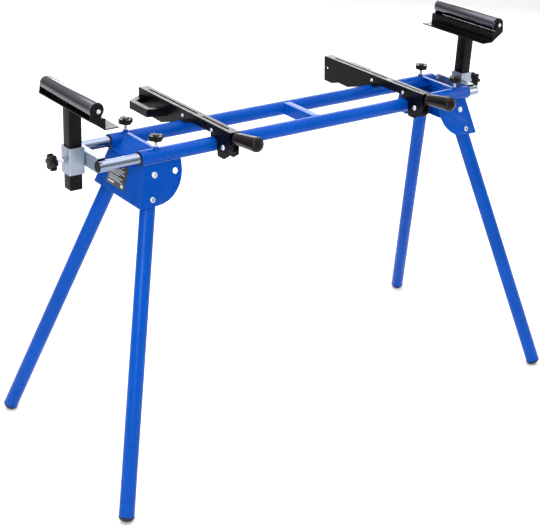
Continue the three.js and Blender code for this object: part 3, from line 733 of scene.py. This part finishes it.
# ---- Roller heads --------------------------------------------------------------------------------
for end, sx in ENDS:
    node = f"head_bracket_{end}"
    skin = cad_skin(node)

    def is_bend(e):
        a, b = e.verts[0].co, e.verts[1].co
        return abs(b.y - a.y) > 0.2

    bends = [e for e in sharp_edges(skin, 60) if is_bend(e)]
    # the two folds' outer edges are wide, and the sheet's free edges only eased
    axle = Vector(JOINTS[f"roller_spin_{end}"]["pos_m"])
    folds = []
    for e in bends:
        m = (e.verts[0].co + e.verts[1].co) / 2 - axle
        u, w = m.x * sx / MM, m.z / MM
        if abs(u + 18.8) < 4.0 and (abs(w + 22.5) < 3.2 or abs(w + 48.5) < 3.2):
            folds.append(e)
    ease(skin, folds, 1.2 * MM, 4)
    ease(skin, sharp_edges(skin, 50, 3 * MM), 0.35 * MM, 2)
    piece(f"Head_bracket_{end}", skin, f"post_{end}", "black_coat", node, smooth=38, weighted=True)

    mid, low, high = span(f"roller_{end}")
    half, r = (high.y - low.y) / 2, (high.x - low.x) / 2
    outline = [
        (5.4, -half + 2.5, 0.3), (9, -half + 2.5, 0.3), (9.6, -half + 0.8, 0.3), (11.5, -half + 0.8, 0.3), (12.1, -half + 2.2, 0.4),
        (r - 3, -half + 2.2, 0.6), (r - 2.2, -half, 0.5), (r, -half, 1.0), (r, half, 1.0), (r - 2.2, half, 0.5), (r - 3, half - 2.2, 0.6),
        (12.1, half - 2.2, 0.4), (11.5, half - 0.8, 0.3), (9.6, half - 0.8, 0.3), (9, half - 2.5, 0.3), (5.4, half - 2.5, 0.3),
    ]
    barrel = lathe(fillet(outline, 3), 96, loop=True)
    piece(f"Roller_{end}", moved(barrel, upright(axle, Y)), f"roller_{end}", "roller_chrome", f"roller_{end}")

    mid, low, high = span(f"roller_axle_{end}")
    at = Vector((axle.x, axle.y, axle.z))
    ear = (high.y - axle.y / MM) - 6
    rod = joined(
        lathe(fillet([(0, -ear), (4, -ear), (4, ear - 6), (0, ear - 6)], 2), 36),
        screw(3.9, 1.0, ear - 8, ear + 3.8, 0.4, 24),
        hexagon(5.9, ear + 0.4, ear + 5.4, 0.7),
        turned(hexagon(5.9, ear + 0.3, ear + 4.7, 0.7), 180, "X"),
    )
    piece(f"Roller_axle_{end}", moved(rod, upright(at, Y)), f"post_{end}", "bolt_zinc", f"roller_axle_{end}")

    # pressed rings that stiffen each ear round its bolt
    for face in (-1, 1):
        rings = []
        for inner, outer in ((6.6, 8.4), (10.4, 12.0)):
            crest = (inner + outer) / 2
            rings.append(lathe([(inner, ear - 0.6), (inner, ear), (crest, ear + 0.7), (outer, ear), (outer, ear - 0.6)], 48, loop=True))
        piece(f"Ear_rings_{end}_{'front' if face < 0 else 'rear'}", moved(joined(*rings), upright(at, Y * face)), f"post_{end}", "black_coat")


# ---- Clamp knobs ---------------------------------------------------------------------------------
def knob(radius, lobes, half, reach, hub, sharp=1.4, corner=3.0):
    """A lobed grip round a screw: the tip at 0, the middle of the grip at reach, along Z."""
    grip = fillet(
        [
            (0, reach - half - 4, 0), (hub, reach - half - 4, 0.8), (hub + 0.6, reach - half, 1.5),
            (radius - 0.8 * corner, reach - half, corner * 0.7), (radius, reach - half + 0.6 * corner, corner),
            (radius, reach + half - 0.6 * corner, corner), (radius - corner, reach + half, corner), (hub + 1.2, reach + half - 1.2, 2.0), (hub - 0.6, reach + half + 1.9, 1.2),
            (4.2, reach + half + 1.9, 0.5), (3.6, reach + half + 1.0, 0.4), (0, reach + half + 1.0, 0),
        ],
        4, closed=False,
    )
    shaped = []
    for r, z in grip:
        lobed = max(0.0, min(1.0, (r - hub - 0.8) / (radius * 0.45)))
        shaped.append((r, z, lobed))
    return lathe(shaped, 24 * lobes, lobes=lobes, depth=0.34, sharp=sharp)


for end, sx in ENDS:
    for side, sy in SIDES:
        corner = f"{side}_{end}"
        mid, low, high = span(f"tube_knob_{corner}")
        radius = (high.x - low.x) / 2
        reach = 47 - ARM_R - 0.4
        at = (mid.x * MM, sy * TUBE_Y * MM, low.z * MM)
        body = f"tube_knob_{corner}"
        grip = knob(radius, 4, 6.5, reach, 8.0, 2.2, 1.6)
        piece(f"Tube_knob_{corner}", moved(grip, upright(at, Z)), body, "black_plastic", f"tube_knob_{corner}")
        rod = screw(4, 1.25, 0, reach - 10.3)
        piece(f"Tube_knob_screw_{corner}", moved(rod, upright(at, Z)), body, "bolt_zinc")

    mid, low, high = span(f"post_knob_{end}")
    radius = (high.z - low.z) / 2
    tip = low.x if sx > 0 else high.x
    length = high.x - low.x
    reach = length - 10
    at = (tip * MM, mid.y * MM, TUBE_Z * MM)
    grip = knob(radius, 6, 8, reach, 9.5)
    piece(f"Post_knob_{end}", moved(grip, upright(at, X * sx)), f"post_knob_{end}", "black_plastic", f"post_knob_{end}")
    rod = screw(4, 1.25, 0, reach - 11.8)
    piece(f"Post_knob_screw_{end}", moved(rod, upright(at, X * sx)), f"post_knob_{end}", "bolt_zinc")

# ---- Tool brackets, levers and grips --------------------------------------------------------------
for end, sx in ENDS:
    node = f"tool_bracket_{end}"
    skin = cad_skin(node)
    mid, low, high = span(node)
    centre = JOINTS[f"cam_lever_{end}"]["pos_m"][0] / MM

    def is_bend(e):
        a, b = e.verts[0].co / MM, e.verts[1].co / MM
        return abs(b.y - a.y) > 300 and min(a.z, b.z) > high.z - 0.5 and abs(abs(a.x - centre) - 16) < 1

    ease(skin, [e for e in sharp_edges(skin, 60) if is_bend(e)], 2.4 * MM, 5)
    ease(skin, sharp_edges(skin, 50, 3 * MM), 0.35 * MM, 2)
    piece(f"Tool_bracket_{end}", skin, f"tool_bracket_{end}", "black_coat", node, smooth=38, weighted=True)

    # rivets through both cheeks over each tube, and one through the outer cheek behind the rear tube
    for i, (y, z, faces) in enumerate(((-67.0, 35.0, (-1, 1)), (67.0, 35.0, (-1, 1)), (159.8, 11.0, (sx,)))):
        for face in faces:
            stud = lathe(
                fillet([(0, -1.5), (3, -1.5), (3, 0), (5.2, 0, 0.2), (5.2, 0.7, 0.5), (3.6, 2.4, 1.6), (0, 2.9)], 4, closed=False),
                32,
            )
            at = ((centre + face * 16) * MM, y * MM, (TUBE_Z + z) * MM)
            side = "outer" if face == sx else "inner"
            piece(f"Bracket_stud_{end}_{side}_{i}", moved(stud, upright(at, X * face)), f"tool_bracket_{end}", "bolt_zinc")

    pin = Vector(JOINTS[f"cam_lever_{end}"]["pos_m"])
    face = 16.3
    rod = joined(
        lathe(fillet([(0, -face - 1), (4, -face - 1), (4, face + 1), (0, face + 1)], 2), 32),
        lathe(fillet([(0, face), (7, face, 0.3), (7, face + 1.2, 0.6), (5, face + 3.4, 2.2), (0, face + 4)], 4, closed=False), 40),
        lathe(fillet([(0, -face), (7, -face, 0.3), (7, -face - 1.2, 0.6), (5, -face - 3.4, 2.2), (0, -face - 4)], 4, closed=False), 40),
    )
    piece(f"Lever_pin_{end}", moved(rod, upright(pin, X)), f"tool_bracket_{end}", "bolt_zinc", f"lever_pin_{end}")

    skin = cad_skin(f"cam_lever_{end}")
    ease(skin, sharp_edges(skin, 40, 3 * MM), 0.6 * MM, 2)
    piece(f"Cam_lever_{end}", skin, f"cam_lever_{end}", "black_coat", f"cam_lever_{end}", smooth=38, weighted=True)

    # the grip is turned from its own CAD solid's long axis
    verts = [v.co for v in frame["nodes"][f"lever_grip_{end}"].data.vertices]
    rise = math.radians(7)
    axis = Vector((0, -math.cos(rise), math.sin(rise)))
    along = [v.dot(axis) for v in verts]
    centre_line = Vector((pin.x, 0, 0))
    across = Vector((0, math.sin(rise), math.cos(rise)))
    level = (max(v.dot(across) for v in verts) + min(v.dot(across) for v in verts)) / 2
    start = centre_line + axis * min(along) + across * level
    length = (max(along) - min(along)) / MM
    r, neck, dome = 19.5, 16.0, 14.0
    outline = [(7.8, 84.3), (7.8, 0.5), (8.4, 0), (neck - 1.0, 0), (neck - 0.2, 0.6), (neck, 1.6)]
    for z in (6.0, 10.0):
        swell = neck + (r - neck) * z / (length - dome)
        outline += [(swell, z - 1.0), (swell - 0.7, z), (swell, z + 1.0)]
    for k in range(10):
        a = math.radians(7.6 * k)
        outline.append((r * math.cos(a), length - dome * (1 - math.sin(a))))
    outline += [(5.6, length - 0.2), (4.9, length - 0.8), (4.2, length - 2.0), (0, length - 2.4)]
    handle = lathe([(0, 84.3)] + outline, 64)
    piece(f"Lever_grip_{end}", moved(handle, upright(start, axis)), f"cam_lever_{end}", "grip_plastic", f"lever_grip_{end}")

# ---- Label: a dark plate with plain light bars, on the left housing's end plate --------------------
lean = leg_down(-1, 1)
house_mid, house_low, house_high = span("end_housing_left")
down_plate = Vector((lean.x, 0, lean.z)).normalized()
plate_out = Vector((lean.z, 0, -lean.x)).normalized()
if plate_out.x > 0:
    plate_out = -plate_out
label_z = 789.0
face_x = house_low.x + (label_z - house_low.z) * (lean.x / lean.z)
anchor = Vector((face_x * MM, 0.015, label_z * MM)) + plate_out * 0.00005
turn = Matrix((Y * -1, -down_plate, plate_out)).transposed().to_4x4()
at_label = Matrix.Translation(anchor) @ turn @ Matrix.Scale(MM, 4)
plate = prism(fillet([(-42, -31, 3), (42, -31, 3), (42, 31, 3), (-42, 31, 3)], 4), 0, 0.5, 0.15)
piece("Label_plate", moved(plate, at_label), "frame", "label_dark")
for i, (x0, x1, y, tall) in enumerate(
    (
        (-36, 20, 24, 4.0), (-36, 30, 15, 1.6), (-36, 24, 10.5, 1.6), (-36, 33, 6, 1.6), (-36, 10, 1.5, 1.6),
        (-36, 28, -6, 1.6), (-36, 18, -10.5, 1.6), (-36, 31, -15, 1.6), (-36, -8, -23, 4.0), (24, 36, -22, 8.0),
    )
):
    bar = prism(fillet([(x0, y - tall / 2, 0.5), (x1, y - tall / 2, 0.5), (x1, y + tall / 2, 0.5), (x0, y + tall / 2, 0.5)], 2), 0.5, 0.62, 0.04)
    piece(f"Label_bar_{i}", moved(bar, at_label), "frame", "label_light")

# ---- Floor, light and camera ---------------------------------------------------------------------
floor_shader = Shader("floor")
floor_shader.colour(floor_shader.noise(0.8, 3), (0.3, (0.9, 0.9, 0.9)), (0.7, (0.93, 0.93, 0.93)))
floor_shader.roughness(floor_shader.noise(4, 3), 0.7, 0.8)
bm = bmesh.new()
bmesh.ops.create_grid(bm, x_segments=8, y_segments=8, size=14)
mesh = bpy.data.meshes.new("Floor")
bm.to_mesh(mesh)
bm.free()
mesh.materials.append(floor_shader.material)
floor = bpy.data.objects.new("Floor", mesh)
floor.location.z = CAD_BOX[0].z - 0.0004
bpy.context.scene.collection.objects.link(floor)

world = bpy.data.worlds.new("studio")
world.use_nodes = True
tree = world.node_tree
background = tree.nodes["Background"]
split = tree.nodes.new("ShaderNodeSeparateXYZ")
tree.links.new(tree.nodes.new("ShaderNodeTexCoord").outputs["Generated"], split.inputs["Vector"])
ramp = tree.nodes.new("ShaderNodeValToRGB")
ramp.color_ramp.elements[0].position = 0.02
ramp.color_ramp.elements[0].color = (0.3, 0.3, 0.31, 1)
ramp.color_ramp.elements[1].position = 0.6
ramp.color_ramp.elements[1].color = (1, 1, 1, 1)
tree.links.new(split.outputs["Z"], ramp.inputs["Fac"])
tree.links.new(ramp.outputs["Color"], background.inputs["Color"])
background.inputs["Strength"].default_value = 0.95
bpy.context.scene.world = world
bpy.context.scene.view_settings.view_transform = "Standard"


def softbox(name, at, towards, size, power, tint=(1, 1, 1)):
    light = bpy.data.lights.new(name, "AREA")
    light.shape = "RECTANGLE"
    light.size, light.size_y = size
    light.energy = power
    light.color = tint
    obj = bpy.data.objects.new(name, light)
    obj.location = at
    obj.rotation_euler = (Vector(towards) - Vector(at)).to_track_quat("-Z", "Y").to_euler()
    bpy.context.scene.collection.objects.link(obj)


softbox("Overhead", (-0.2, 0.3, 4.2), (0, 0.2, 0.6), (5.0, 5.0), 130)
softbox("Key", (-3.4, -2.0, 2.6), (0, 0, 0.7), (1.4, 1.8), 55)
softbox("Strip", (-3.2, -3.0, 1.3), (0, 0, 0.6), (0.18, 2.4), 26)
softbox("Back", (2.6, 3.4, 2.3), (0, 0, 0.8), (3.6, 1.3), 90)
softbox("Right", (3.4, -1.6, 1.6), (0, 0, 0.6), (1.2, 2.2), 22)

camera_data = bpy.data.cameras.new("Camera")
camera_data.sensor_width = 36
camera_data.sensor_fit = "HORIZONTAL"
camera_data.lens = 1255.93 / 540 * 36
camera_data.clip_end = 60
camera = bpy.data.objects.new("Camera", camera_data)
yaw, pitch, roll = math.radians(38.189), math.radians(25.155), math.radians(2.992)
forward = Vector((math.sin(yaw) * math.cos(pitch), math.cos(yaw) * math.cos(pitch), -math.sin(pitch)))
right0 = Vector((math.cos(yaw), -math.sin(yaw), 0))
up0 = right0.cross(forward)
right = right0 * math.cos(roll) + up0 * math.sin(roll)
up = up0 * math.cos(roll) - right0 * math.sin(roll)
camera.matrix_world = Matrix.Translation((-2.0948, -2.5601, 1.9580)) @ Matrix((right, up, -forward)).transposed().to_4x4()
bpy.context.scene.collection.objects.link(camera)
bpy.context.scene.camera = camera
